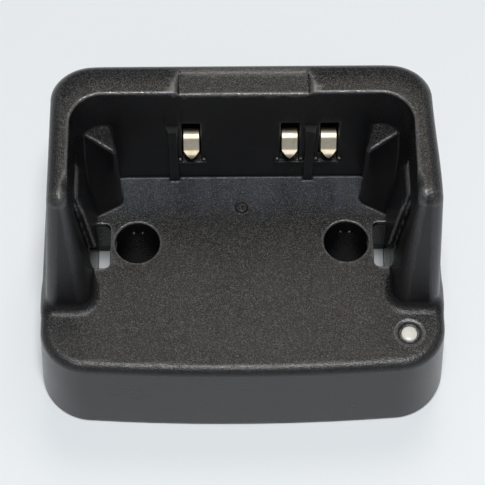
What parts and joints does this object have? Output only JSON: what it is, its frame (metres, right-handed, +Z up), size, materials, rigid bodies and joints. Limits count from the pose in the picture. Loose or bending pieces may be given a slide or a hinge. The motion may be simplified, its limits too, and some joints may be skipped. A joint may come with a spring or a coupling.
{
  "type": "portable radio charging cradle",
  "caption": "Desktop charging cradle for a handheld radio: a drafted plastic housing with an open pocket, side arms, sprung charging contacts, screw wells and an indicator lens.",
  "frame": {"origin": "centre of the footprint, on the surface that the rubber feet stand on", "axes": "+X to the right seen from the open front, -Y out of the pocket's open front, +Z up"},
  "size_m": [0.106, 0.069, 0.0704],
  "materials": {
    "housing_plastic": "black moulded plastic with fine spark-eroded grain",
    "cover_plastic": "black moulded plastic, fine matt",
    "contact_metal": "nickel and gold plated spring strip",
    "screw_steel": "zinc plated steel",
    "board_laminate": "green solder mask",
    "foot_rubber": "soft matt rubber",
    "label_film": "blank silver film",
    "component_black": "moulded component body",
    "lens_white": "milky white light pipe",
    "capacitor_can": "aluminium can",
    "chip_ceramic": "fired ceramic"
  },
  "bodies": {
    "housing": {"top_housing": "housing_plastic", "bottom_cover": "cover_plastic", "contact_holder": "cover_plastic", "contact_tails": "contact_metal", "holder_screws": "screw_steel", "circuit_board": "board_laminate", "board_screws": "screw_steel", "cover_screws": "screw_steel", "rubber_feet": "foot_rubber", "rating_label": "label_film", "dc_jack": "component_black", "jack_pin": "contact_metal", "jack_spring": "contact_metal", "indicator_lens": "lens_white", "indicator_led": "lens_white", "charge_controller": "component_black", "pass_transistor": "component_black", "power_inductor": "component_black", "filter_capacitors": "capacitor_can", "input_diode": "component_black", "input_fuse": "board_laminate", "chip_resistors": "component_black", "chip_capacitors": "chip_ceramic"},
    "left_contact": {"contact_left": "contact_metal"},
    "middle_contact": {"contact_middle": "contact_metal"},
    "right_contact": {"contact_right": "contact_metal"}
  },
  "joints": [
    {"name": "left_contact_press", "type": "hinge", "parent": "housing", "child": "left_contact", "pos_m": [-0.0127, 0.02755, 0.0366], "axis": [-1, 0, 0], "range_deg": [0, 7], "stiffness_Nm_per_rad": 0.15},
    {"name": "middle_contact_press", "type": "hinge", "parent": "housing", "child": "middle_contact", "pos_m": [0.0123, 0.02755, 0.0366], "axis": [-1, 0, 0], "range_deg": [0, 7], "stiffness_Nm_per_rad": 0.15},
    {"name": "right_contact_press", "type": "hinge", "parent": "housing", "child": "right_contact", "pos_m": [0.0222, 0.02755, 0.0366], "axis": [-1, 0, 0], "range_deg": [0, 7], "stiffness_Nm_per_rad": 0.15}
  ]
}
